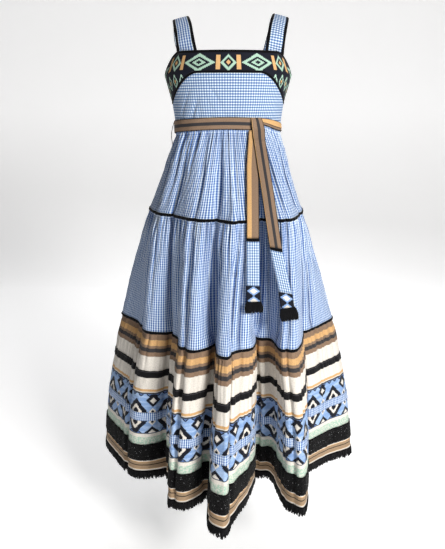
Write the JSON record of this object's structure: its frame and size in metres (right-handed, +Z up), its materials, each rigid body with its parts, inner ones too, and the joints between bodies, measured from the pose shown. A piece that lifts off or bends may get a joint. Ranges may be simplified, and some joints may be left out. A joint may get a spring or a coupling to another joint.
{
  "type": "tiered dress",
  "caption": "Sleeveless midi sundress in blue gingham: banded bodice on wide straps, striped tie belt and a gathered tiered skirt with a woven border and black fringe.",
  "frame": {"origin": "midway between the tops of the two shoulder straps, where a wearer or hanger holds it", "axes": "+Z up, -Y the way the wearer faces, +X to the right as seen from the front"},
  "size_m": [0.7384, 0.7736, 1.2197],
  "materials": {
    "gingham": "small blue and white checked cotton",
    "velvet": "black velvet trim",
    "print": "dark geometric print",
    "belt": "taupe and charcoal striped belting",
    "border": "blue, cream and taupe woven border",
    "ribbed": "black ribbed ribbon",
    "boucle": "black looped tape",
    "yarn": "black yarn fringe",
    "thread": "dark grey thread"
  },
  "bodies": {
    "root": {"strap_left": "gingham", "strap_right": "gingham", "strap_left_trim_inner": "velvet", "strap_left_trim_outer": "velvet", "strap_right_trim_inner": "velvet", "strap_right_trim_outer": "velvet", "band_front": "print", "band_back": "print", "bodice_front": "gingham", "bodice_back": "gingham", "neck_trim": "velvet", "band_trim": "velvet", "belt_wrap": "belt", "belt_knot": "belt", "belt_loop": "thread", "belt_left_strip": "belt", "belt_left_trim": "velvet", "belt_left_gingham": "gingham", "belt_left_tab": "print", "belt_left_fringe": "yarn", "belt_right_strip": "belt", "belt_right_trim": "velvet", "belt_right_gingham": "gingham", "belt_right_tab": "print", "belt_right_fringe": "yarn", "tier1_front": "gingham", "tier1_back": "gingham", "tier1_trim": "velvet", "tier2_front": "gingham", "tier2_back": "gingham", "tier2_trim": "velvet", "border_front": "border", "border_back": "border", "ribbed_ribbon": "ribbed", "gingham_ribbon": "gingham", "boucle_tape": "boucle", "hem_fringe": "yarn"}
  },
  "joints": []
}
